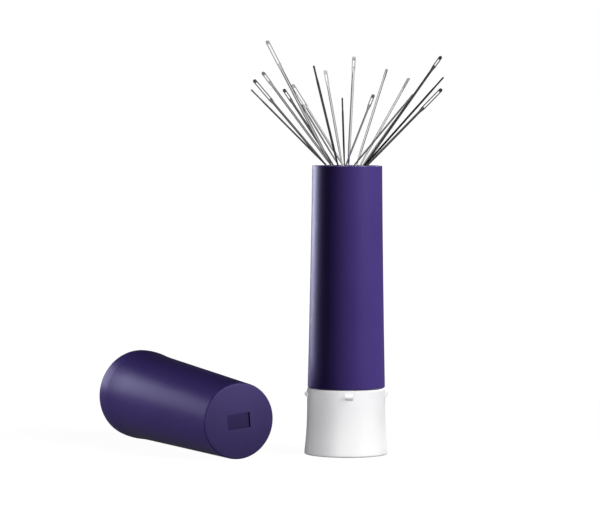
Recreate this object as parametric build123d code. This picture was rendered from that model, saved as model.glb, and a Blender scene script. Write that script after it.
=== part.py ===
from build123d import *
from collections import namedtuple
import math
import os

# A twist dispenser for sewing needles: the points stand on a magnet inside a purple tube,
# and turning the tube on its white foot lifts the magnet, so that the needles fan out.
# The purple cap is off and lies beside it. Millimetres, +Z up, origin under the foot's centre.

# Needle carrier and its magnet
magnet_radius = 7.2
magnet_thickness = 3.0
magnet_below_rim = 5.0
magnet_edge = 0.2
carrier_cup_wall = 1.27
carrier_cup_height = 3.2
carrier_edge = 0.3
carrier_floor = 1.5
carrier_skirt_wall = 1.3
carrier_slit_width = 1.2
carrier_slit_over_lug = 4.0
lug_radius = 1.0
lug_below_magnet = 14.0
lug_over_skirt_foot = 5.0
lug_over_flange_when_down = 5.45

# Running gaps
turning_gap = 0.1
thrust_gap = 0.15
press_gap = 0.03
slot_gap = 0.1

# Guide barrel with its straight slots
barrel_wall = 0.9
barrel_flange_gap = 0.25
barrel_flange_thickness = 1.3
barrel_neck_length = 1.15
barrel_neck_depth = 0.35
barrel_over_magnet = 0.5

# Spiral sleeve pressed in the tube
sleeve_wall = 1.1
sleeve_flange_height = 4.0
groove_depth = 0.72
groove_clearance = 0.2
groove_lead = 40.0
groove_starts = 2

# Outer tube
tube_rim_height = 96.6
tube_rim_wall = 0.97
tube_spread = 1.25
tube_hollow = 0.105
tube_wall = 1.35
tube_seam = 0.2
tube_edge_round = 0.4
tube_lip_round = 0.3
tube_lip_chamfer = 0.2
tube_land_length = 22.6
tube_flange_room = 0.5

# Foot
foot_height = 22.15
foot_step = 0.15
foot_flare = 0.9
foot_flare_height = 15.5
foot_wall = 1.6
foot_floor = 1.8
foot_edge_round = 0.5
foot_lip = 0.3
socket_wall = 1.4
socket_rib_count = 6
socket_rib_thickness = 1.0

# Snap bumps that hold the cap
bump_count = 4
bump_turn_from_front = 3.0
bump_height = 2.2
bump_width = 2.7
bump_proud = 0.77
bump_flat = 0.5
bump_round = 0.22
bump_below_foot_top = 2.15

# Cap, measured from its open rim to its closed end
cap_mouth_below_bumps = 0.5
cap_mouth_gap = 0.03
cap_mouth_depth = 3.0
cap_mouth_wall = 1.55
cap_flare_at = 3.6
cap_shoulder_at = 6.5
cap_shoulder_drop = 0.08
cap_cone_start = 16.0
cap_cone_gap = 0.61
cap_wall = 1.2
cap_end_gap = 0.5
cap_end_side_gap = 0.12
cap_end_side_wall = 0.9
cap_end_wall = 1.3
cap_inside_corner = 0.6
cap_rim_draw = 0.11
cap_rim_round = 0.6
cap_rim_chamfer = 0.3
cap_end_round = 0.5
recess_width = 8.3
recess_height = 5.0
recess_depth = 0.5
recess_corner = 0.3
recess_turn = 6.0

# Where the cap lies
cap_side = -40.65
cap_mouth_forward = 77.9
floor_gap = 0.02

# Needles. Each line gives how far the needle leans sideways and away for each millimetre of
# height, where its point stands on the magnet, how high its eye rises over the point, and how
# it stands when it is wound down: its point's place along its own lean, and its lean in degrees.
fan_turn = -27.6
point_gap = 0.3
point_radius = 0.05
point_length = 13.0
point_belly_radius = 0.65
point_belly_height = 0.45
point_full_height = 0.75
eye_flat = 0.85
eye_neck = 2.0
eye_root = 0.3
eye_bridge = 1.3

Eye = namedtuple("Eye", "length width slot_width")
long_eye = Eye(9.0, 1.25, 0.5)
oval_eye = Eye(4.2, 1.15, 0.45)
small_eye = Eye(2.6, 0.95, 0.35)

Needle = namedtuple(
    "Needle", "thickness eye eye_turn side away point_x point_y rise stowed_point stowed_lean")
needles = {
    "embroidery_needle_1": Needle(0.80, long_eye, 0, -0.855, 0.25, -3.0, 0.0, 33.3, 0.25, 0),
    "embroidery_needle_2": Needle(0.80, long_eye, 0, 0.970, 0.05, 2.1, 0.75, 30.4, 0.75, 2.5),
    "embroidery_needle_3": Needle(0.80, long_eye, 90, 0.720, 0.20, 1.9, 2.0, 28.1, -1.0, -2),
    "embroidery_needle_4": Needle(0.80, long_eye, 0, -0.630, 0.50, 1.6, 3.75, 31.9, -2.25, 0.5),
    "darning_needle_1": Needle(1.00, long_eye, 0, -0.520, -0.15, -3.0, -1.75, 46.0, 1.5, 1.5),
    "darning_needle_2": Needle(0.80, oval_eye, 0, 0.690, -0.30, 2.3, -3.25, 40.9, 2.0, -0.5),
    "darning_needle_3": Needle(0.90, oval_eye, 0, 0.040, -0.50, 0.1, -4.25, 40.5, 4.25, 1),
    "household_needle_1": Needle(0.80, oval_eye, 0, -0.745, -0.25, -1.8, -2.5, 35.6, 0.0, -4),
    "household_needle_2": Needle(0.80, oval_eye, 0, -0.660, -0.05, -1.5, -1.5, 30.1, -3.5, -3),
    "household_needle_3": Needle(0.80, oval_eye, 0, -0.180, 0.30, -0.8, 3.25, 36.7, 2.75, -1.5),
    "household_needle_4": Needle(0.65, oval_eye, 0, 0.380, -0.40, -2.4, -4.0, 28.3, 1.5, -3),
    "sharp_needle_1": Needle(0.60, small_eye, 90, -1.000, -0.05, -2.3, -0.5, 29.9, -0.5, -1.5),
    "sharp_needle_2": Needle(0.60, small_eye, 90, -0.610, 0.55, 0.0, 4.25, 25.1, -0.5, 0),
    "sharp_needle_3": Needle(0.80, small_eye, 90, -0.250, -0.30, -2.0, -4.75, 37.7, 4.75, 1),
    "sharp_needle_4": Needle(0.65, small_eye, 90, -0.030, 0.50, -0.7, 5.0, 27.4, 3.5, 1),
    "sharp_needle_5": Needle(0.80, small_eye, 60, 0.320, 0.40, 1.7, 4.75, 37.3, 3.75, -0.5),
    "sharp_needle_6": Needle(0.80, small_eye, 30, 0.560, 0.25, 1.8, 3.0, 34.1, -4.75, 1.5),
    "sharp_needle_7": Needle(0.60, small_eye, 90, 0.810, -0.45, -1.7, -3.0, 28.4, -3.0, 5),
    "sharp_needle_8": Needle(0.70, small_eye, 90, 0.890, 0.20, 1.8, 1.25, 34.4, 0.5, -1),
}

# Radii, worked out from the magnet outwards
carrier_cup_bore = magnet_radius + press_gap
carrier_radius = carrier_cup_bore + carrier_cup_wall
barrel_bore = carrier_radius + turning_gap
barrel_radius = barrel_bore + barrel_wall
sleeve_bore = barrel_radius + turning_gap
sleeve_radius = sleeve_bore + sleeve_wall
tube_land_radius = sleeve_radius + press_gap
tube_rim_radius = tube_land_radius + tube_rim_wall
tube_foot_radius = tube_rim_radius + tube_spread
tube_waist_radius = (tube_rim_radius + tube_foot_radius) / 2 - tube_hollow
tube_bore_foot = tube_foot_radius - tube_wall
foot_waist_radius = tube_foot_radius + foot_step
foot_radius = foot_waist_radius + foot_flare
foot_bore = foot_waist_radius - foot_wall
socket_bore = barrel_radius + press_gap
socket_radius = socket_bore + socket_wall
barrel_flange_radius = foot_bore - barrel_flange_gap
cap_mouth_radius = foot_waist_radius + bump_proud + cap_mouth_gap
cap_flare_radius = cap_mouth_radius + cap_mouth_wall
cap_cone_bore = foot_waist_radius + cap_cone_gap - foot_step
cap_cone_radius = cap_cone_bore + cap_wall
cap_end_bore = tube_rim_radius + cap_end_side_gap
cap_end_radius = cap_end_bore + cap_end_side_wall

# Heights, from the foot up
ledge = foot_height - barrel_flange_thickness
bump_centre_height = foot_height - bump_below_foot_top
tube_foot_height = foot_height + tube_seam
sleeve_foot = foot_height + thrust_gap
magnet_top = tube_rim_height - magnet_below_rim
magnet_seat = magnet_top - magnet_thickness
lug_height = magnet_top - lug_below_magnet
travel = lug_height - lug_over_flange_when_down - foot_height
carrier_foot = lug_height - lug_over_skirt_foot
barrel_top = magnet_top + barrel_over_magnet
neck_foot = barrel_top - barrel_neck_length
sleeve_top = neck_foot - thrust_gap
groove_radius = sleeve_bore + groove_depth
groove_width = 2 * (lug_radius + groove_clearance)
lug_reach = groove_radius - thrust_gap
slot_width = 2 * (lug_radius + slot_gap)
slot_foot = lug_height - travel - groove_width
slot_top = lug_height + groove_width / 2
cap_length = (tube_rim_height + cap_end_gap + cap_end_wall
              - bump_centre_height + cap_mouth_below_bumps)


def turned(*lines):
    """A closed outline of radius and height, turned about the upright axis."""
    outline = Curve() + list(lines)
    return revolve(make_face(Plane.XZ * outline), Axis.Z)


def ring(outer, inner, foot, top):
    """A plain tube between two heights."""
    tall = top - foot
    return Pos(0, 0, foot) * (
        Cylinder(outer, tall, align=(Align.CENTER, Align.CENTER, Align.MIN))
        - Cylinder(inner, tall, align=(Align.CENTER, Align.CENTER, Align.MIN)))


def bar(inner, outer, width, foot, top):
    """A block that runs out along +X from one radius to another."""
    return Pos(inner, 0, foot) * Box(
        outer - inner, width, top - foot, align=(Align.MIN, Align.CENTER, Align.MIN))


def chain(*corners):
    """Straight lines from corner to corner."""
    return [Line(start, stop) for start, stop in zip(corners, corners[1:])]


def snap_bump():
    """One rounded wedge on the foot that the cap's mouth rides over."""
    reach = foot_waist_radius + bump_proud
    buried = foot_waist_radius - foot_lip
    low = bump_centre_height - bump_height / 2
    high = bump_centre_height + bump_height / 2
    side = make_face(Plane.XZ * Polyline(
        (buried, low), (foot_waist_radius, low), (reach, bump_centre_height - bump_flat / 2),
        (reach, bump_centre_height + bump_flat / 2), (foot_waist_radius, high), (buried, high),
        close=True))
    wedge = extrude(side, bump_width / 2, both=True)
    tips = wedge.edges().filter_by(Axis.Y).group_by(Axis.X)[-1]
    return fillet(tips, bump_round)


def twist_base():
    """White foot: a flared cup with a ribbed socket for the barrel, and four snap bumps."""
    edge = foot_edge_round
    waist = foot_waist_radius
    cup = turned(
        Line((0, 0), (foot_radius - edge, 0)),
        RadiusArc((foot_radius - edge, 0), (foot_radius, edge), -edge),
        TangentArc((waist, foot_flare_height), (foot_radius, edge), tangent=(0, -1)),
        *chain((waist, foot_flare_height), (waist, foot_height - foot_lip),
               (waist - foot_lip, foot_height), (foot_bore, foot_height),
               (foot_bore, foot_floor), (0, foot_floor), (0, 0)))
    cup += ring(socket_radius, socket_bore, foot_floor, ledge)
    rib = bar((socket_bore + socket_radius) / 2, foot_bore + foot_wall / 2, socket_rib_thickness,
              foot_floor, ledge)
    for index in range(socket_rib_count):
        cup += Rot(0, 0, (index + 0.5) * 360 / socket_rib_count) * rib
    front_bump = fan_turn - 90 + bump_turn_from_front
    for index in range(bump_count):
        cup += Rot(0, 0, front_bump + index * 360 / bump_count) * snap_bump()
    return cup


def guide_barrel():
    """White inner barrel: two straight slots steer the carrier, and a flange carries the tube."""
    barrel = ring(barrel_radius, barrel_bore, foot_floor, barrel_top)
    barrel += ring(barrel_flange_radius, barrel_bore, ledge, foot_height)
    barrel -= ring(2 * barrel_radius, barrel_radius - barrel_neck_depth, neck_foot, 2 * barrel_top)
    slot = bar(barrel_bore / 2, barrel_radius + turning_gap / 2, slot_width, slot_foot, slot_top)
    for side in (0, 180):
        barrel -= Rot(0, 0, side) * slot
    return barrel


def retaining_ring():
    """Ring snapped on the barrel's neck, which keeps the sleeve and the tube on the barrel."""
    outer = sleeve_bore + 0.75 * sleeve_wall
    inner = barrel_radius - barrel_neck_depth + press_gap
    snapped = ring(outer, inner, neck_foot, barrel_top)
    return chamfer(snapped.edges().group_by(Axis.Z)[-1], barrel_neck_depth / 2)


def outer_tube():
    """Purple tube, drawn in slightly between foot and rim."""
    edge = tube_edge_round
    lip = tube_lip_round
    foot = tube_foot_height
    rim = tube_rim_height
    flange_top = foot + sleeve_flange_height + tube_flange_room
    mouth = tube_land_radius + tube_lip_chamfer
    return turned(
        Line((tube_bore_foot, foot), (tube_foot_radius - edge, foot)),
        RadiusArc((tube_foot_radius - edge, foot), (tube_foot_radius, foot + edge), -edge),
        ThreePointArc((tube_foot_radius, foot + edge), (tube_waist_radius, (foot + rim) / 2),
                      (tube_rim_radius, rim - lip)),
        RadiusArc((tube_rim_radius, rim - lip), (tube_rim_radius - lip, rim), -lip),
        *chain((tube_rim_radius - lip, rim), (mouth, rim), (tube_land_radius, rim - tube_lip_chamfer),
               (tube_land_radius, rim - tube_land_length), (tube_bore_foot, flange_top),
               (tube_bore_foot, foot)))


def groove():
    """Cutters for one start of the spiral groove, as long as the carrier's way, with round ends."""
    turns = travel / groove_lead
    inlet = sleeve_bore - groove_depth / 2
    middle = (groove_radius + inlet) / 2
    path = Helix(groove_lead, travel, middle, lefthand=True)
    across = Plane(origin=path @ 0, x_dir=(1, 0, 0), z_dir=path % 0)
    channel = sweep(across * Rectangle(groove_radius - inlet, groove_width), path, is_frenet=True)
    low_end = Pos(middle, 0, 0) * Cylinder(
        groove_width / 2, groove_radius - inlet, rotation=(0, 90, 0))
    high_end = Rot(0, 0, -360 * turns) * Pos(0, 0, travel) * low_end
    foot = Rot(0, 0, 360 * turns) * Pos(0, 0, lug_height - travel)
    return [foot * channel, foot * low_end, foot * high_end]


def spiral_sleeve():
    """Sleeve pressed in the tube, with the spiral groove that lifts the carrier."""
    sleeve = ring(sleeve_radius, sleeve_bore, sleeve_foot, sleeve_top)
    sleeve += ring(tube_bore_foot - press_gap, sleeve_bore, sleeve_foot,
                   tube_foot_height + sleeve_flange_height)
    for index in range(groove_starts):
        for cutter in groove():
            sleeve -= Rot(0, 0, index * 360 / groove_starts) * cutter
    return sleeve


def needle_carrier():
    """Cup that slides in the barrel: a seat for the magnet, and a slit skirt with two lugs."""
    cup_top = magnet_top + carrier_cup_height
    under_floor = magnet_seat - carrier_floor
    skirt_bore = carrier_radius - carrier_skirt_wall
    edge = carrier_edge
    carrier = turned(*chain(
        (0, under_floor), (skirt_bore, under_floor), (skirt_bore, carrier_foot),
        (carrier_radius - edge, carrier_foot), (carrier_radius, carrier_foot + edge),
        (carrier_radius, cup_top - edge), (carrier_radius - edge, cup_top),
        (carrier_cup_bore + edge, cup_top), (carrier_cup_bore, cup_top - edge),
        (carrier_cup_bore, magnet_seat), (0, magnet_seat), (0, under_floor)))
    slit = Box(4 * carrier_radius, carrier_slit_width, lug_over_skirt_foot + carrier_slit_over_lug,
               align=(Align.CENTER, Align.CENTER, Align.MIN))
    for side in (45, 135):
        carrier -= Rot(0, 0, side) * Pos(0, 0, carrier_foot) * slit
    lug_root = carrier_radius - carrier_skirt_wall / 2
    lug = Cylinder(lug_radius, lug_reach - lug_root, rotation=(0, 90, 0),
                   align=(Align.CENTER, Align.CENTER, Align.MIN))
    for side in (0, 180):
        carrier += Rot(0, 0, side) * Pos(lug_root, 0, lug_height) * lug
    return carrier


def magnet():
    """Round magnet that holds the needles by their points."""
    disc = Pos(0, 0, magnet_seat) * Cylinder(
        magnet_radius, magnet_thickness, align=(Align.CENTER, Align.CENTER, Align.MIN))
    return chamfer(disc.edges().filter_by(GeomType.CIRCLE), magnet_edge)


def cap_in_its_own_frame():
    """Purple cap standing on its open mouth, with an empty recess in its closed end."""
    slope = (cap_cone_radius - cap_end_radius) / (cap_length - cap_cone_start)
    rim_radius = cap_flare_radius - cap_rim_draw
    rim = cap_rim_round
    edge = cap_end_round
    corner = cap_inside_corner
    ceiling = cap_length - cap_end_wall
    shoulder = (cap_flare_radius - cap_shoulder_drop, cap_shoulder_at)
    shell = turned(
        *chain((cap_mouth_radius, cap_rim_chamfer), (cap_mouth_radius + cap_rim_chamfer, 0),
               (rim_radius - rim, 0)),
        RadiusArc((rim_radius - rim, 0), (rim_radius, rim), -rim),
        ThreePointArc((rim_radius, rim), (cap_flare_radius, cap_flare_at), shoulder),
        TangentArc((cap_cone_radius, cap_cone_start), shoulder, tangent=(slope, -1)),
        Line((cap_cone_radius, cap_cone_start), (cap_end_radius, cap_length - edge)),
        RadiusArc((cap_end_radius, cap_length - edge), (cap_end_radius - edge, cap_length), -edge),
        *chain((cap_end_radius - edge, cap_length), (0, cap_length), (0, ceiling),
               (cap_end_bore - corner, ceiling), (cap_end_bore, ceiling - corner),
               (cap_cone_bore, cap_cone_start), (cap_mouth_radius, cap_mouth_depth),
               (cap_mouth_radius, cap_rim_chamfer)))
    window = Rot(0, 0, recess_turn) * RectangleRounded(recess_width, recess_height, recess_corner)
    return shell - Pos(0, 0, cap_length) * extrude(window, -recess_depth)


def cap():
    """The cap on its side: it rests on its flare and on the edge of its closed end."""
    drop = cap_flare_radius - cap_end_radius
    run = cap_length - cap_end_round - cap_flare_at
    tilt = math.atan(drop / run)
    axis_height = cap_flare_at * math.sin(tilt) + cap_flare_radius * math.cos(tilt) + floor_gap
    lying = Plane(
        origin=(cap_side, cap_mouth_forward, axis_height),
        x_dir=(1, 0, 0),
        z_dir=(0, -math.cos(tilt), -math.sin(tilt)))
    return lying * cap_in_its_own_frame()


def needle_body(thickness, eye, length):
    """A needle upright on its point: tapered point, round shaft, flattened and pierced eye."""
    shaft = thickness / 2
    half_eye = eye.width / 2
    shoulder = length - eye.length
    crown = length - half_eye
    solid = turned(
        Bezier((point_radius, 0), (point_belly_radius * shaft, point_belly_height * point_length),
               (shaft, point_full_height * point_length), (shaft, point_length)),
        *chain((shaft, point_length), (shaft, shoulder - eye_neck), (half_eye, shoulder),
               (half_eye, crown), (0.75 * half_eye, crown + 0.7 * half_eye), (0, length), (0, 0),
               (point_radius, 0)))
    flat = eye_flat * shaft
    cheek = Pos(0, flat, shoulder - eye_neck / 2) * Box(
        3 * half_eye, half_eye, eye.length + eye_neck, align=(Align.CENTER, Align.MIN, Align.MIN))
    solid = solid - cheek - Rot(0, 0, 180) * cheek
    hole_length = eye.length - eye_root - eye_bridge
    hole = extrude(
        Plane.XZ * Pos(0, shoulder + eye_root + hole_length / 2)
        * Rot(0, 0, 90) * SlotOverall(hole_length, eye.slot_width), thickness, both=True)
    return solid - hole


def needle_in_fan(one):
    """A needle in its place in the raised fan."""
    lean = Vector(one.side, one.away, 1)
    length = one.rise * lean.length
    seat = (one.point_x, one.point_y, magnet_top + point_gap)
    upright = Plane(origin=seat, z_dir=lean.normalized(), x_dir=Vector(1, 0, -one.side).normalized())
    body = Rot(0, 0, one.eye_turn) * needle_body(one.thickness, one.eye, length)
    return Rot(0, 0, fan_turn) * (upright * body)


def swing(one):
    """Pole, axis and angle of the turn that carries a needle from the fan down into the tube."""
    out = Vector(one.side, one.away).normalized()
    across = Vector(-out.Y, out.X)
    point = Vector(one.point_x, one.point_y)
    along = point.dot(out)
    height = magnet_top + point_gap
    angle = math.atan(math.hypot(one.side, one.away)) - math.radians(one.stowed_lean)
    reach = 0.5 / math.tan(angle / 2)
    pole_along = (along + one.stowed_point) / 2 + travel * reach
    pole_height = height - travel / 2 + (one.stowed_point - along) * reach
    pole = (out * pole_along + across * point.dot(across)).rotate(Axis.Z, fan_turn)
    return pole + Vector(0, 0, pole_height), across.rotate(Axis.Z, fan_turn), math.degrees(angle)


os.makedirs("parts", exist_ok=True)

export_step(twist_base(), "parts/twist_base.step")
export_step(guide_barrel(), "parts/guide_barrel.step")
export_step(retaining_ring(), "parts/retaining_ring.step")
export_step(outer_tube(), "parts/outer_tube.step")
export_step(spiral_sleeve(), "parts/spiral_sleeve.step")
export_step(needle_carrier(), "parts/needle_carrier.step")
export_step(magnet(), "parts/magnet.step")
export_step(cap(), "parts/cap.step")

for name, one in needles.items():
    export_step(needle_in_fan(one), f"parts/{name}.step")
    pole, axis, angle = swing(one)
    print(f"{name} pole {pole.X:.3f} {pole.Y:.3f} {pole.Z:.3f} axis {axis.X:.6f} {axis.Y:.6f} turn {angle:.5f}")
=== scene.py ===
import math

import bpy
from mathutils import Matrix, Vector


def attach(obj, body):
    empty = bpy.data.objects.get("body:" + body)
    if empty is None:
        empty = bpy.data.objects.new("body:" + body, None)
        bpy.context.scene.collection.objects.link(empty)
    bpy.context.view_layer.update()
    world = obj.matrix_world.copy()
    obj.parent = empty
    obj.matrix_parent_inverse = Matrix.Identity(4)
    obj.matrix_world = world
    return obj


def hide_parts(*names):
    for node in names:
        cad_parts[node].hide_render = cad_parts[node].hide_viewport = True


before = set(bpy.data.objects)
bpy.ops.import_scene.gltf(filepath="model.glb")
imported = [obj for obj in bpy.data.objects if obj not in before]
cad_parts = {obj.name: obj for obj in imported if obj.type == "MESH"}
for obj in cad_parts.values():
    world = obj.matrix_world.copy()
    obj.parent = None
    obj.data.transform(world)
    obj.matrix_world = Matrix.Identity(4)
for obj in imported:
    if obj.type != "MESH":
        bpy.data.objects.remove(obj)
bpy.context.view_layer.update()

millimetre = 0.001


# Camera: a little above the tube's rim, and turned so that the cap lies to the left

camera = {
    "place": (-0.4912, -0.9065, 0.1113),
    "turn": 27.572,      # degrees, from straight ahead to the right
    "dip": 2.548,        # degrees below level
    "roll": -0.21,       # degrees
    "lens": 185.1,
    "sensor": 36.0,
    "nearest": 0.05,     # metres; nothing nearer is drawn
}


def fromCamera(right, away, up):
    turn = math.radians(camera["turn"])
    across = math.cos(turn) * right + math.sin(turn) * away
    onward = math.cos(turn) * away - math.sin(turn) * right
    return Vector((across, onward, up))


def makeCamera():
    data = bpy.data.cameras.new("photoCamera")
    data.lens = camera["lens"]
    data.sensor_width = camera["sensor"]
    data.clip_start = camera["nearest"]
    seen = bpy.data.objects.new("photoCamera", data)
    seen.location = camera["place"]
    seen.rotation_euler = (math.radians(90.0 - camera["dip"]), math.radians(camera["roll"]),
                           -math.radians(camera["turn"]))
    bpy.context.scene.collection.objects.link(seen)
    bpy.context.scene.camera = seen


makeCamera()
print("camera ready")


# Node maths: a Wire holds one socket, and a sum on wires adds its Math nodes

class Wire:
    def __init__(self, tree, out):
        self.tree = tree
        self.out = out

    def maths(self, operation, first, second=0.0):
        node = self.tree.nodes.new("ShaderNodeMath")
        node.operation = operation
        for socket, value in zip(node.inputs, (first, second)):
            if isinstance(value, Wire):
                self.tree.links.new(value.out, socket)
            else:
                socket.default_value = value
        return Wire(self.tree, node.outputs[0])

    def __add__(self, other):
        return self.maths("ADD", self, other)

    def __radd__(self, other):
        return self.maths("ADD", other, self)

    def __sub__(self, other):
        return self.maths("SUBTRACT", self, other)

    def __rsub__(self, other):
        return self.maths("SUBTRACT", other, self)

    def __mul__(self, other):
        return self.maths("MULTIPLY", self, other)

    def __rmul__(self, other):
        return self.maths("MULTIPLY", other, self)

    def __truediv__(self, other):
        return self.maths("DIVIDE", self, other)

    def __pow__(self, other):
        return self.maths("POWER", self, other)


class Finish:
    def __init__(self, tree):
        self.tree = tree
        tree.nodes.clear()

    def wire(self, made, name):
        return Wire(self.tree, self.find(made.out.node.outputs, name))

    def node(self, kind, settings=None, sockets=None, take=0):
        node = self.tree.nodes.new(kind)
        for name, value in (settings or {}).items():
            setattr(node, name, value)
        for name, value in (sockets or {}).items():
            socket = self.find(node.inputs, name)
            if isinstance(value, Wire):
                self.tree.links.new(value.out, socket)
            else:
                socket.default_value = value
        return Wire(self.tree, self.find(node.outputs, take))

    def find(self, sockets, name):
        if isinstance(name, int):
            return sockets[name]
        for socket in sockets:
            if socket.identifier == name:
                return socket
        return sockets[name]

    def onObject(self):
        return self.node("ShaderNodeTexCoord", take="Object")

    def attribute(self, name, take="Fac"):
        return self.node("ShaderNodeAttribute", {"attribute_type": "GEOMETRY", "attribute_name": name},
                         take=take)

    def height(self, where):
        return self.node("ShaderNodeSeparateXYZ", {}, {"Vector": where}, "Z")

    def vector(self, operation, first, second=None, take=0):
        sockets = {0: first} if second is None else {0: first, 1: second}
        return self.node("ShaderNodeVectorMath", {"operation": operation}, sockets, take)

    def noise(self, where, scale, detail=2.0, rough=0.5):
        return self.node("ShaderNodeTexNoise", {"noise_dimensions": "3D"},
                         {"Vector": where, "Scale": scale, "Detail": detail, "Roughness": rough}, "Fac")

    def ramp(self, value, low, high, start=0.0, stop=1.0, kind="LINEAR"):
        return self.node("ShaderNodeMapRange", {"interpolation_type": kind, "clamp": True},
                         {"Value": value, "From Min": low, "From Max": high, "To Min": start, "To Max": stop})

    def step(self, value, low, high, start=0.0, stop=1.0):
        return self.ramp(value, low, high, start, stop, "SMOOTHSTEP")

    def blend(self, first, second, share):
        return self.node("ShaderNodeMix", {"data_type": "RGBA", "clamp_factor": True},
                         {"Factor_Float": share, "A_Color": first, "B_Color": second}, "Result_Color")

    def stretch(self, where, upward):
        return self.node("ShaderNodeMapping", {"vector_type": "POINT"},
                         {"Vector": where, "Scale": (1.0, 1.0, upward)})

    def bump(self, height, strength, distance):
        return self.node("ShaderNodeBump", {}, {"Height": height, "Strength": strength, "Distance": distance})


def newMaterial(name):
    material = bpy.data.materials.new(name)
    material.use_nodes = True
    return material, Finish(material.node_tree)


def endTree(tree, shader, output):
    tree.links.new(shader.out, tree.nodes.new(output).inputs["Surface"])


def surface(finish, sockets):
    endTree(finish.tree, finish.node("ShaderNodeBsdfPrincipled", {}, sockets), "ShaderNodeOutputMaterial")


def linear(red, green, blue):
    def one(value):
        value /= 255.0
        return value / 12.92 if value <= 0.04045 else ((value + 0.055) / 1.055) ** 2.4
    return (one(red), one(green), one(blue), 1.0)


# Purple plastic: a satin skin with a very fine spark-eroded grain.
# Noise is given as waves per metre, and a pair of levels says where it starts to show and where it is full.

purple = {
    "colour": linear(77, 60, 133),
    "deeper": linear(74, 57, 129),
    "cloud": 55.0,
    "cloudLevels": (0.3, 0.7),
    "cloudGloss": 0.08,
    "grain": 5200.0,
    "grainGloss": 0.06,
    "grainStrength": 0.22,
    "grainHeight": 0.00005,
    "worn": linear(104, 88, 156),
    "scuff": 1900.0,
    "scuffLength": 0.02,       # a scuff runs along the axis
    "scuffLevels": (0.60, 0.74),
    "scuffShare": 0.10,
    "rub": 700.0,
    "rubLevels": (0.35, 0.75),
    "rubShare": 0.35,
    "rubGloss": 0.08,
    "rubRadius": 0.0004,       # metres over which a rubbed edge comes up outwards
    "roughness": 0.36,
    "index": 1.48,
    "gloss": 0.30,
    "glossTint": (0.76, 0.73, 1.0, 1.0),
    # painted shade: the recess's floor is painted darker than the skin around it
    "paintedRecessShade": linear(62, 48, 108),
    "mattGloss": 0.2,
    "mattAndShadeEdge": 0.0001,        # metres over which the recess's floor turns rougher and takes its painted shade
}
tube = {
    "rim": 0.0966,
    "seam": 0.0223,            # its lower end, just above the foot
    "rubFrom": 0.010,          # metres from the axis
    "rubLength": 0.0006,
}
cap = {
    "mouth": (-0.04065, 0.0779, 0.01559),
    "tilt": 92.09,             # degrees about X, from standing to lying on its side
    "length": 0.0789,
    "endRadius": 0.01272,
    "endRub": 0.0007,
    "mouthRub": (0.0134, 0.0008, 0.0001),     # metres from the axis, and where along it starts and is full
    "recessReach": 0.0055,     # the recess lies within this of the axis
    "recessDepth": (0.0006, 0.0001),          # and its floor between these, below the closed end
}


def purplePlastic(name, seat, tilt, rubbedEdges, recess=None):
    material, finish = newMaterial(name)
    own = finish.node("ShaderNodeMapping", {"vector_type": "TEXTURE"},
                      {"Vector": finish.onObject(), "Location": seat,
                       "Rotation": (math.radians(tilt), 0.0, 0.0)})
    along = finish.height(own)
    onAxis = finish.node("ShaderNodeCombineXYZ", {}, {"X": 0.0, "Y": 0.0, "Z": along})
    radius = finish.vector("LENGTH", finish.vector("SUBTRACT", own, onAxis), take="Value")
    cloud = finish.noise(own, purple["cloud"], 3.0)
    grain = finish.noise(own, purple["grain"], 2.0, 0.6)
    scuff = finish.noise(finish.stretch(own, purple["scuffLength"]), purple["scuff"])
    scuffLine = finish.step(scuff, *purple["scuffLevels"])
    edge = 0.0
    for inner, start, full in rubbedEdges:
        outside = finish.step(radius, inner, inner + purple["rubRadius"])
        edge = finish.step(along, start, full) * outside + edge
    rub = edge * finish.step(finish.noise(own, purple["rub"], 3.0, 0.6), *purple["rubLevels"])
    body = finish.blend(purple["deeper"], purple["colour"], finish.step(cloud, *purple["cloudLevels"]))
    skin = finish.blend(body, purple["worn"], rub * purple["rubShare"] + scuffLine * purple["scuffShare"])
    rough = (purple["roughness"] + (cloud - 0.5) * purple["cloudGloss"] + (grain - 0.5) * purple["grainGloss"]
             - rub * purple["rubGloss"])
    if recess:
        reach, deep, shallow = recess
        soft = purple["mattAndShadeEdge"]
        # the recess's floor is made rougher and painted darker, which is painted shade
        floor = (finish.step(radius, reach + soft, reach) * finish.step(along, deep - soft, deep)
                 * finish.step(along, shallow + soft, shallow))
        skin = finish.blend(skin, purple["paintedRecessShade"], floor)
        rough = rough + floor * purple["mattGloss"]
    surface(finish, {
        "Base Color": skin,
        "Roughness": rough,
        "IOR": purple["index"],
        "Specular IOR Level": purple["gloss"],
        "Specular Tint": purple["glossTint"],
        "Normal": finish.bump(grain, purple["grainStrength"], purple["grainHeight"]),
    })
    return material


# White plastic: plain moulded skin, a little soft where it is thin

white = {
    "colour": linear(246, 246, 247),
    "shade": linear(242, 242, 244),
    "insideTone": 0.94,        # the pieces inside are a little duller
    "cloud": 70.0,
    "cloudLevels": (0.25, 0.65),
    "cloudGloss": 0.12,
    "grain": 3800.0,
    "grainGloss": 0.05,
    "grainStrength": 0.06,
    "grainHeight": 0.00004,
    "rubbed": linear(205, 204, 200),
    "rub": 1500.0,
    "rubLevels": (0.4, 0.7),
    "rubShare": 0.4,
    "rubHeights": (0.0007, 0.0001),           # metres above the floor: from, to
    "roughness": 0.42,
    "index": 1.47,
    "softness": 0.35,          # share of the light that spreads inside the wall
    "softDepth": 0.006,
}


def toned(colour, tone):
    return tuple(tone * value for value in colour[:3]) + (1.0,)


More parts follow.
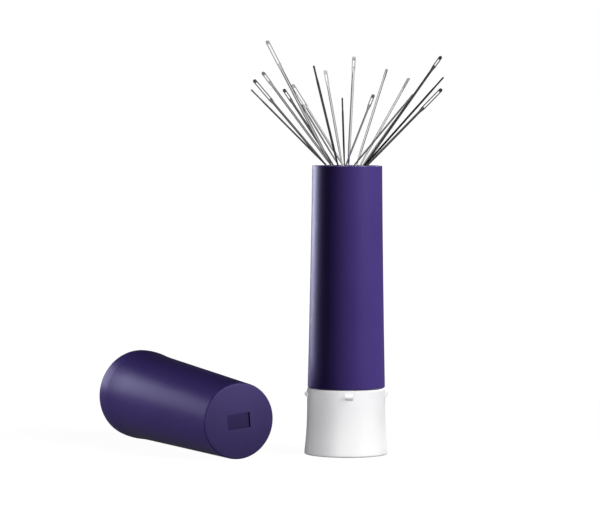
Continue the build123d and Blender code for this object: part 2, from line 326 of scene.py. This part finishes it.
def whitePlastic(name, tone=1.0):
    material, finish = newMaterial(name)
    where = finish.onObject()
    cloud = finish.noise(where, white["cloud"], 3.0)
    grain = finish.noise(where, white["grain"])
    footRub = (finish.step(finish.height(where), *white["rubHeights"])
               * finish.step(finish.noise(where, white["rub"], 3.0), *white["rubLevels"]))
    skin = finish.blend(toned(white["shade"], tone), toned(white["colour"], tone),
                        finish.step(cloud, *white["cloudLevels"]))
    skin = finish.blend(skin, white["rubbed"], footRub * white["rubShare"])
    surface(finish, {
        "Base Color": skin,
        "Roughness": (white["roughness"] + (cloud - 0.5) * white["cloudGloss"]
                      + (grain - 0.5) * white["grainGloss"]),
        "IOR": white["index"],
        "Subsurface Weight": white["softness"],
        "Subsurface Scale": white["softDepth"],
        "Subsurface Radius": (1.0, 1.0, 1.0),
        "Normal": finish.bump(grain, white["grainStrength"], white["grainHeight"]),
    })
    return material


# Bright nickel on the magnet

nickel = {
    "colour": linear(198, 194, 186),
    "dull": linear(160, 156, 150),
    "cloud": 420.0,
    "cloudLevels": (0.3, 0.6),
    "cloudGloss": 0.10,
    "turning": 900.0,
    "turningLength": 14.0,     # the fine lines run round the rim
    "turningGloss": 0.06,
    "turningStrength": 0.05,
    "turningHeight": 0.00002,
    "roughness": 0.26,
}


def magnetCoat(name):
    material, finish = newMaterial(name)
    where = finish.onObject()
    cloud = finish.noise(where, nickel["cloud"], 3.0, 0.6)
    turned = finish.noise(finish.stretch(where, nickel["turningLength"]), nickel["turning"], 3.0, 0.6)
    surface(finish, {
        "Base Color": finish.blend(nickel["dull"], nickel["colour"],
                                   finish.step(cloud, *nickel["cloudLevels"])),
        "Metallic": 1.0,
        "Roughness": (nickel["roughness"] + (cloud - 0.5) * nickel["cloudGloss"]
                      + (turned - 0.5) * nickel["turningGloss"]),
        "Normal": finish.bump(turned, nickel["turningStrength"], nickel["turningHeight"]),
    })
    return material


# Needle steel: nickel plated, drawn lengthwise, duller inside the eye. Each needle's tone, from dark to
# light, is painted reflection, and the darker eye and crown are painted shade

steel = {
    # colour to grey: each needle's painted reflection, light to dark by its tone
    "colour": linear(226, 226, 226),
    "grey": linear(32, 32, 34),
    # painted shade inside the eye
    "inEye": linear(96, 95, 94),
    "eyeGloss": 0.15,
    # painted shade at the crown
    "crown": linear(46, 46, 48),
    "crownShare": 0.85,        # how dark the painted crown shade of a dark needle is
    "crownFade": 0.60,         # and how much lighter on the lightest
    "drawing": 2600.0,
    "drawingLength": 0.02,     # the fine lines run along the shaft
    "drawingTone": 0.2,
    "drawingGloss": 0.10,
    "drawingStrength": 0.05,
    "drawingHeight": 0.00001,
    "spots": 900.0,
    "spotGloss": 0.06,
    "roughness": 0.34,
}


def needleCoat(name):
    material, finish = newMaterial(name)
    own = finish.attribute("onNeedle", "Vector")
    tone = finish.attribute("paintedReflectionTone")
    inside = finish.attribute("inEye")
    crown = finish.attribute("atCrown")
    drawn = finish.noise(finish.stretch(own, steel["drawingLength"]), steel["drawing"])
    spots = finish.noise(own, steel["spots"], 3.0, 0.6)
    # painted reflection: each needle's tone paints it darker or lighter
    skin = finish.blend(steel["grey"], steel["colour"], tone + (drawn - 0.5) * steel["drawingTone"])
    # painted shade inside the eye, where the finish is also duller
    skin = finish.blend(skin, steel["inEye"], inside)
    # painted shade at the crown, darkest on the dark needles
    skin = finish.blend(skin, steel["crown"], crown * (steel["crownShare"] - tone * steel["crownFade"]))
    surface(finish, {
        "Base Color": skin,
        "Metallic": 1.0,
        "Roughness": (steel["roughness"] + (drawn - 0.5) * steel["drawingGloss"]
                      + (spots - 0.5) * steel["spotGloss"] + inside * steel["eyeGloss"]),
        "Normal": finish.bump(drawn, steel["drawingStrength"], steel["drawingHeight"]),
    })
    return material


purpleTube = purplePlastic("purpleTube", (0.0, 0.0, 0.0), 0.0,
                           [(tube["rubFrom"], tube["seam"] + tube["rubLength"], tube["seam"]),
                            (tube["rubFrom"], tube["rim"] - tube["rubLength"], tube["rim"])])
purpleCap = purplePlastic("purpleCap", cap["mouth"], cap["tilt"],
                          [cap["mouthRub"],
                           (cap["endRadius"] - cap["endRub"], cap["length"] - cap["endRub"], cap["length"])],
                          (cap["recessReach"], *(cap["length"] - depth for depth in cap["recessDepth"])))
whiteFoot = whitePlastic("whiteFoot")
whiteInside = whitePlastic("whiteInside", white["insideTone"])
magnetNickel = magnetCoat("magnetNickel")
needleSteel = needleCoat("needleSteel")

dress = {
    "outer_tube": purpleTube,
    "cap": purpleCap,
    "twist_base": whiteFoot,
    "guide_barrel": whiteInside,
    "retaining_ring": whiteInside,
    "spiral_sleeve": whiteInside,
    "needle_carrier": whiteInside,
    "magnet": magnetNickel,
}
for name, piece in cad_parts.items():
    piece.data.materials.clear()
    piece.data.materials.append(dress.get(name, needleSteel))
print("plastics and metals ready")


# Needles: one tree shapes a needle upright on its point, from the sizes of each.
# Lengths in these tables are in millimetres.

needleShape = {
    "pointLength": 13.0,
    "pointRadius": 0.05,
    "pointBelly": 1.45,
    "neck": 2.0,
    "flatShare": 0.85,         # thickness at the eye, of the shaft's
    "leastFlat": 0.1,          # and at the very end, of that
    "flatSquareness": 1.5,
    "crownTurn": 1.51,         # radians that the crown rounds over, just short of a quarter turn
    "gutterDepth": 0.10,
    "gutterRunIn": 1.2,
    "gutterRunOut": 0.6,
    "gutterSides": (0.35, 0.95),              # of the slot's width: full depth to, gone at
    "eyeRoot": 0.3,
    "eyeBridge": 1.3,
    "pinReach": 6.0,           # the eye's cutter, in shaft radii
    "crownDark": (1.7, 0.6),   # where the painted crown shade lies, below the top: starts, is full
    "crease": 40.0,            # degrees from which an edge stays sharp
    "sides": 36,
    "rings": 110,
    "ringsTo": (0.28, 0.36, 0.56, 0.76),      # share of the rings up to point, neck, eye and crown
    "eyeSides": 20,
}
eyes = {
    "long": {"length": 9.0, "width": 1.25, "slot": 0.5},
    "oval": {"length": 4.2, "width": 1.15, "slot": 0.45},
    "small": {"length": 2.6, "width": 0.95, "slot": 0.35},
}
fan = {
    "turn": -27.6,             # degrees; sideways in the table is sideways for the camera
    "pointsAt": 91.9,          # the points' height
}
needles = {
    # thickness, eye, eye's turn, lean sideways, lean away, point sideways, point away, rise,
    # and tone, painted reflection, from 0 for a needle painted dark to 1 for one painted light
    "embroidery_needle_1": (0.80, "long", 0, -0.855, 0.25, -3.0, 0.0, 33.3, 0.22),
    "embroidery_needle_2": (0.80, "long", 0, 0.970, 0.05, 2.1, 0.75, 30.4, 0.10),
    "embroidery_needle_3": (0.80, "long", 90, 0.720, 0.20, 1.9, 2.0, 28.1, 0.60),
    "embroidery_needle_4": (0.80, "long", 0, -0.630, 0.50, 1.6, 3.75, 31.9, 0.85),
    "darning_needle_1": (1.00, "long", 0, -0.520, -0.15, -3.0, -1.75, 46.0, 0.75),
    "darning_needle_2": (0.80, "oval", 0, 0.690, -0.30, 2.3, -3.25, 40.9, 0.08),
    "darning_needle_3": (0.90, "oval", 0, 0.040, -0.50, 0.1, -4.25, 40.5, 1.00),
    "household_needle_1": (0.80, "oval", 0, -0.745, -0.25, -1.8, -2.5, 35.6, 0.50),
    "household_needle_2": (0.80, "oval", 0, -0.660, -0.05, -1.5, -1.5, 30.1, 0.22),
    "household_needle_3": (0.80, "oval", 0, -0.180, 0.30, -0.8, 3.25, 36.7, 1.00),
    "household_needle_4": (0.65, "oval", 0, 0.380, -0.40, -2.4, -4.0, 28.3, 0.40),
    "sharp_needle_1": (0.60, "small", 90, -1.000, -0.05, -2.3, -0.5, 29.9, 0.12),
    "sharp_needle_2": (0.60, "small", 90, -0.610, 0.55, 0.0, 4.25, 25.1, 0.50),
    "sharp_needle_3": (0.80, "small", 90, -0.250, -0.30, -2.0, -4.75, 37.7, 0.08),
    "sharp_needle_4": (0.65, "small", 90, -0.030, 0.50, -0.7, 5.0, 27.4, 0.04),
    "sharp_needle_5": (0.80, "small", 60, 0.320, 0.40, 1.7, 4.75, 37.3, 1.00),
    "sharp_needle_6": (0.80, "small", 30, 0.560, 0.25, 1.8, 3.0, 34.1, 1.00),
    "sharp_needle_7": (0.60, "small", 90, 0.810, -0.45, -1.7, -3.0, 28.4, 0.30),
    "sharp_needle_8": (0.70, "small", 90, 0.890, 0.20, 1.8, 1.25, 34.4, 0.00),
}
needleInputs = ("Length", "Shaft", "Eye Length", "Eye Width", "Slot", "Tone")


def needleTree():
    tree = bpy.data.node_groups.new("needleForm", "GeometryNodeTree")
    tree.interface.new_socket("Geometry", in_out="OUTPUT", socket_type="NodeSocketGeometry")
    for name in needleInputs:
        tree.interface.new_socket(name, in_out="INPUT", socket_type="NodeSocketFloat")
    tree.interface.new_socket("Material", in_out="INPUT", socket_type="NodeSocketMaterial")
    form = Finish(tree)
    given = form.node("NodeGroupInput")
    length, shaft, eyeLength, eyeWidth, slot, tone = [form.wire(given, name) for name in needleInputs]
    shape = needleShape
    pointLength = shape["pointLength"] * millimetre
    neck = shape["neck"] * millimetre
    shoulder = length - eyeLength
    neckFoot = shoulder - neck
    halfEye = eyeWidth * 0.5
    crown = length - halfEye

    def store(geometry, name, value, kind="FLOAT", domain="POINT"):
        return form.node("GeometryNodeStoreNamedAttribute", {"data_type": kind, "domain": domain},
                         {"Geometry": geometry, "Name": name, "Value": value})

    def heightHere():
        return form.height(form.node("GeometryNodeInputPosition"))

    # the rod is a unit cylinder, whose rings are spread over point, shaft, neck, eye and crown
    rod = form.node("GeometryNodeMeshCylinder", {"fill_type": "NGON"},
                    {"Vertices": shape["sides"], "Side Segments": shape["rings"],
                     "Radius": 1.0, "Depth": 1.0})
    place = form.node("GeometryNodeInputPosition")
    sideways = form.node("ShaderNodeSeparateXYZ", {}, {"Vector": place}, "X")
    depth = form.wire(sideways, "Y")
    share = form.wire(sideways, "Z") + 0.5
    toPoint, toNeck, toEye, toCrown = shape["ringsTo"]
    rounding = form.ramp(share, toCrown, 1.0, 0.0, shape["crownTurn"])
    along = (form.ramp(share, 0.0, toPoint, 0.0, pointLength)
             + form.ramp(share, toPoint, toNeck, 0.0, neckFoot - pointLength)
             + form.ramp(share, toNeck, toEye, 0.0, neck)
             + form.ramp(share, toEye, toCrown, 0.0, crown - shoulder)
             + halfEye * rounding.maths("SINE", rounding))
    tip = shape["pointRadius"] * millimetre
    rise = form.ramp(along, 0.0, pointLength, 1.0, 0.0)
    taper = tip + (shaft - tip) * (1 - rise ** shape["pointBelly"])
    eyeHere = form.step(along, neckFoot, shoulder)
    closing = rounding.maths("COSINE", rounding)
    wide = (taper + (halfEye - taper) * eyeHere) * closing
    across = sideways * wide
    unpressed = depth * wide
    flat = shaft * shape["flatShare"] * closing.maths("MAXIMUM", closing, shape["leastFlat"])
    pressed = (unpressed * shape["flatSquareness"]) / flat
    pressed = flat * pressed.maths("TANH", pressed)
    thick = unpressed + (pressed - unpressed) * eyeHere
    full, gone = shape["gutterSides"]
    runIn = shape["gutterRunIn"] * millimetre
    runOut = shape["gutterRunOut"] * millimetre
    gutter = (form.step(across.maths("ABSOLUTE", across), slot * full, slot * gone, 1.0, 0.0)
              * form.step(along, neckFoot - runIn, neckFoot + runIn)
              * form.step(along, crown - runOut, crown, 1.0, 0.0))
    thick = thick - thick.maths("SIGN", thick) * gutter * (shape["gutterDepth"] * millimetre)
    moved = form.node("ShaderNodeCombineXYZ", {}, {"X": across, "Y": thick, "Z": along})
    body = form.node("GeometryNodeSetPosition", {}, {"Geometry": rod, "Position": moved})
    body = form.node("GeometryNodeSetShadeSmooth", {"domain": "FACE"},
                     {"Geometry": body, "Shade Smooth": True})
    body = store(body, "inEye", 0.0, domain="FACE")

    # the eye's cutter is a round pin, pulled apart at its middle to the eye's length
    holeLength = eyeLength - (shape["eyeRoot"] + shape["eyeBridge"]) * millimetre
    pin = form.node("GeometryNodeMeshCylinder", {"fill_type": "NGON"},
                    {"Vertices": shape["eyeSides"], "Side Segments": 1, "Radius": slot * 0.5,
                     "Depth": shaft * shape["pinReach"]})
    halfStep = math.pi / shape["eyeSides"]        # no corner of the eye on the needle's middle line
    pin = form.node("GeometryNodeTransform", {}, {"Geometry": pin, "Rotation": (math.pi / 2, halfStep, 0.0)})
    height = heightHere()
    apart = height.maths("SIGN", height) * (holeLength - slot) * 0.5
    shift = apart + shoulder + shape["eyeRoot"] * millimetre + holeLength * 0.5
    lift = form.node("ShaderNodeCombineXYZ", {}, {"X": 0.0, "Y": 0.0, "Z": shift})
    pin = form.node("GeometryNodeSetPosition", {}, {"Geometry": pin, "Offset": lift})
    # the eye's walls: a duller finish and painted shade
    pin = store(pin, "inEye", 1.0, domain="FACE")

    pierced = form.node("GeometryNodeMeshBoolean", {"operation": "DIFFERENCE", "solver": "EXACT"},
                        {"Mesh 1": body, "Mesh 2": pin})
    bend = form.node("GeometryNodeInputMeshEdgeAngle", {}, {}, "Unsigned Angle")
    sharp = form.node("FunctionNodeCompare", {"operation": "GREATER_THAN", "data_type": "FLOAT"},
                      {"A": bend, "B": math.radians(shape["crease"])})
    pierced = form.node("GeometryNodeSetShadeSmooth", {"domain": "EDGE"},
                        {"Geometry": pierced, "Selection": sharp, "Shade Smooth": False})
    pierced = store(pierced, "onNeedle", form.node("GeometryNodeInputPosition"), "FLOAT_VECTOR")
    # the needle's painted reflection tone
    pierced = store(pierced, "paintedReflectionTone", tone)
    # where the painted crown shade lies
    darkFrom, darkFull = (below * millimetre for below in shape["crownDark"])
    pierced = store(pierced, "atCrown", form.step(heightHere(), length - darkFrom, length - darkFull))
    single = form.node("GeometryNodeRealizeInstances", {}, {"Geometry": pierced})
    dressed = form.node("GeometryNodeSetMaterial", {},
                        {"Geometry": single, "Material": form.wire(given, "Material")})
    tree.links.new(dressed.out, tree.nodes.new("NodeGroupOutput").inputs["Geometry"])
    return tree


def shapedNeedle(tree, name, one):
    thickness, eyeName, eyeTurn, side, away, pointX, pointY, rise, tone = one
    eye = eyes[eyeName]
    lean = Vector((side, away, 1.0))
    sizes = {
        "Length": rise * lean.length * millimetre,
        "Shaft": thickness / 2 * millimetre,
        "Eye Length": eye["length"] * millimetre,
        "Eye Width": eye["width"] * millimetre,
        "Slot": eye["slot"] * millimetre,
        "Tone": tone,
        "Material": needleSteel,
    }
    holder = bpy.data.objects.new("holder", bpy.data.meshes.new("holder"))
    bpy.context.scene.collection.objects.link(holder)
    modifier = holder.modifiers.new("needleForm", "NODES")
    modifier.node_group = tree
    for item in tree.interface.items_tree:
        if item.in_out == "INPUT":
            modifier[item.identifier] = sizes[item.name]
    seen = holder.evaluated_get(bpy.context.evaluated_depsgraph_get())
    mesh = bpy.data.meshes.new_from_object(seen)
    bpy.data.objects.remove(holder)
    upward = lean.normalized()
    ahead = Vector((1.0, 0.0, -side)).normalized()
    axes = Matrix((ahead, upward.cross(ahead), upward)).transposed().to_4x4()
    seat = Matrix.Translation(Vector((pointX, pointY, fan["pointsAt"])) * millimetre)
    mesh.transform(Matrix.Rotation(math.radians(fan["turn"]), 4, "Z") @ seat @ axes
                   @ Matrix.Rotation(math.radians(eyeTurn), 4, "Z"))
    mesh.name = name + "_shaped"
    piece = bpy.data.objects.new(name + "_shaped", mesh)
    bpy.context.scene.collection.objects.link(piece)
    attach(piece, name + "_swing")
    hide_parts(name)
    return piece


formTree = needleTree()
shaped = [shapedNeedle(formTree, name, one) for name, one in needles.items()]
print("needles ready:", len(shaped), "with", len(shaped[-1].data.polygons), "faces in the last")


# Floor and white surroundings. A pair of levels says where a change starts and where it is full.

studio = {
    "floorColour": linear(240, 240, 241),
    "floorSize": 6.0,
    "floorGlow": 0.92,         # share of the floor's look that no shadow darkens, near the object
    "floorFade": (0.12, 0.55),                # metres from the object; all of it further out
    "floorWhite": 1.06,
    "floorGloss": 0.1,         # how much of the floor's look gloss shows
    "bounce": linear(85, 85, 87),             # what the floor throws back on the object
    "fill": 0.02,              # light from all round
    "wallsBehind": (0.05, 0.30),
    "wallsLeft": (0.2, 0.45),
    "wallsWhite": (0.08, 0.5),                # how white gloss shows the right and left walls behind
    "wallsTop": (0.42, 0.12),
    "white": (1.0, 1.0, 1.0, 1.0),
}


def makeFloor():
    half = studio["floorSize"] / 2
    mesh = bpy.data.meshes.new("floor")
    corners = [(-half, -half, 0), (half, -half, 0), (half, half, 0), (-half, half, 0)]
    mesh.from_pydata(corners, [], [(0, 1, 2, 3)])
    floor = bpy.data.objects.new("floor", mesh)
    bpy.context.scene.collection.objects.link(floor)
    material, finish = newMaterial("floorPaper")
    paper = finish.node("ShaderNodeBsdfDiffuse", {}, {"Color": studio["floorColour"]})
    under = finish.node("ShaderNodeBsdfDiffuse", {}, {"Color": studio["bounce"]})
    glow = finish.node("ShaderNodeEmission", {}, {"Color": studio["white"], "Strength": studio["floorWhite"]})
    reach = finish.vector("LENGTH", finish.onObject(), take="Value")
    share = finish.step(reach, *studio["floorFade"], studio["floorGlow"], 1.0)
    lit = finish.node("ShaderNodeMixShader", {}, {0: share, 1: paper, 2: glow})
    ray = finish.node("ShaderNodeLightPath", {}, {}, "Is Camera Ray")
    gloss = finish.wire(ray, "Is Glossy Ray")
    clear = finish.wire(ray, "Is Transmission Ray")
    seen = ray.maths("MAXIMUM", ray.maths("MAXIMUM", ray, gloss * studio["floorGloss"]), clear)
    endTree(finish.tree, finish.node("ShaderNodeMixShader", {}, {0: seen, 1: under, 2: lit}),
            "ShaderNodeOutputMaterial")
    mesh.materials.append(material)
    return floor


def makeWorld():
    world = bpy.data.worlds.new("studio")
    world.use_nodes = True
    bpy.context.scene.world = world
    finish = Finish(world.node_tree)
    ray = finish.node("ShaderNodeLightPath", {}, {}, "Is Camera Ray")
    gloss = finish.wire(ray, "Is Glossy Ray")
    clear = finish.wire(ray, "Is Transmission Ray")
    around = finish.node("ShaderNodeTexCoord", {}, {}, "Generated")
    behind = finish.vector("DOT_PRODUCT", around, tuple(fromCamera(0, 1, 0)), "Value")
    leftward = finish.vector("DOT_PRODUCT", around, tuple(fromCamera(-1, 0, 0)), "Value")
    upward = finish.height(around)
    sides = finish.step(leftward, *studio["wallsLeft"], *studio["wallsWhite"])
    walls = finish.step(behind, *studio["wallsBehind"]) * sides * finish.step(upward, *studio["wallsTop"])
    seen = ray.maths("MAXIMUM", ray, clear)
    strength = seen + (1 - seen) * (gloss * walls + (1 - gloss) * studio["fill"])
    background = finish.node("ShaderNodeBackground", {}, {"Color": studio["white"], "Strength": strength})
    endTree(finish.tree, background, "ShaderNodeOutputWorld")


def group(name, pieces):
    made = bpy.data.collections.new(name)
    for piece in pieces:
        made.objects.link(piece)
    return made


floor = makeFloor()
makeWorld()
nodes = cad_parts
whites = [nodes[name] for name, material in dress.items() if material in (whiteFoot, whiteInside)]
uncapped = [piece for name, piece in nodes.items() if name not in needles and name != "cap"]
reached = {
    "tubes": group("tubes", [nodes["outer_tube"]]),
    "caps": group("caps", [nodes["cap"]]),
    "whites": group("whites", whites),
    "steels": group("steels", shaped + [nodes["magnet"]]),
    "plastics": group("plastics", uncapped + [floor]),
    "backs": group("backs", [nodes["outer_tube"]] + whites),
}
print("floor and surroundings ready")


# Lamps: each reaches only the pieces named. Places are to the right of, beyond and above the tube's foot,
# as the camera sees it. A lamp with one number for its size is a spot, and that is its angle in degrees.

neutral = (1.0, 1.0, 1.0)
cool = (0.74, 0.75, 1.0)
violet = (0.94, 0.86, 1.0)
spotSoftness = 0.02
tubeMiddle = (0.0, 0.0, 0.06)
tubeFoot = (0.0, 0.0, 0.01)
lamps = {
    # place, aim, size, power, pieces reached, colour
    "key": ((0.80, -0.46, 0.62), tubeMiddle, (0.5, 0.5), 13.0, "plastics", neutral),
    "edge": ((-0.64, 0.50, 0.22), tubeMiddle, (0.80, 0.42), 1.7, "tubes", neutral),
    "rim": ((-0.60, 0.55, 0.20), tubeMiddle, (0.44, 0.40), 4.0, "tubes", cool),
    "footFill": ((-0.33, -1.01, 0.35), tubeFoot, (0.8, 0.6), 8.0, "whites", neutral),
    "footBack": ((0.55, 0.85, 0.40), tubeFoot, (0.6, 0.5), 6.0, "whites", neutral),
    "capKey": ((0.98, -0.56, 0.20), tubeMiddle, (0.4, 0.4), 3.0, "caps", neutral),
    "capFill": ((-0.95, -0.20, 0.30), (-0.04, 0.03, 0.015), (0.5, 0.4), 4.3, "caps", neutral),
    "capEdge": ((-0.165, 0.122, 0.054), (-0.04, 0.07, 0.02), (0.06, 0.052), 0.032, "caps", cool),
    "capFar": ((0.90, 0.52, 0.12), (-0.04, 0.04, 0.015), (0.5, 0.3), 4.5, "caps", neutral),
    "capSpot": ((0.219, -0.247, 0.038), (-0.0407, 0.0, 0.030), (11.0,), 1.6, "caps", violet),
    "back": ((0.15, 1.0, 0.80), tubeMiddle, (0.6, 0.6), 11.0, "backs", neutral),
    "needleTop": ((0.0, 0.10, 1.10), (0.0, 0.0, 0.10), (1.3, 1.3), 5.5, "steels", neutral),
    "needleBack": ((-0.10, 1.20, 0.75), (0.0, 0.0, 0.11), (1.6, 1.0), 6.0, "steels", neutral),
    "needleFill": ((0.10, -0.85, 0.60), (0.0, 0.0, 0.12), (2.2, 1.8), 12.5, "steels", neutral),
    "needleCard": ((0.0, -0.42, 0.004), fromCamera(0.0, -0.42, 1.0), (1.2, 0.6), 2.0, "steels", neutral),
}


def hangLamp(name, place, aim, size, power, pieces, colour):
    data = bpy.data.lights.new(name, "SPOT" if len(size) == 1 else "AREA")
    if len(size) == 1:
        data.spot_size = math.radians(size[0])
        data.spot_blend = 1.0
        data.shadow_soft_size = spotSoftness
    else:
        data.shape = "RECTANGLE"
        data.size, data.size_y = size
    data.energy = power
    data.color = colour
    lamp = bpy.data.objects.new(name, data)
    lamp.location = fromCamera(*place)
    lamp.visible_camera = False
    lamp.rotation_euler = (Vector(aim) - lamp.location).to_track_quat("-Z", "Y").to_euler()
    bpy.context.scene.collection.objects.link(lamp)
    lamp.light_linking.receiver_collection = reached[pieces]


for name, one in lamps.items():
    hangLamp(name, *one)
bpy.context.scene.view_settings.view_transform = "Standard"
print("studio ready")


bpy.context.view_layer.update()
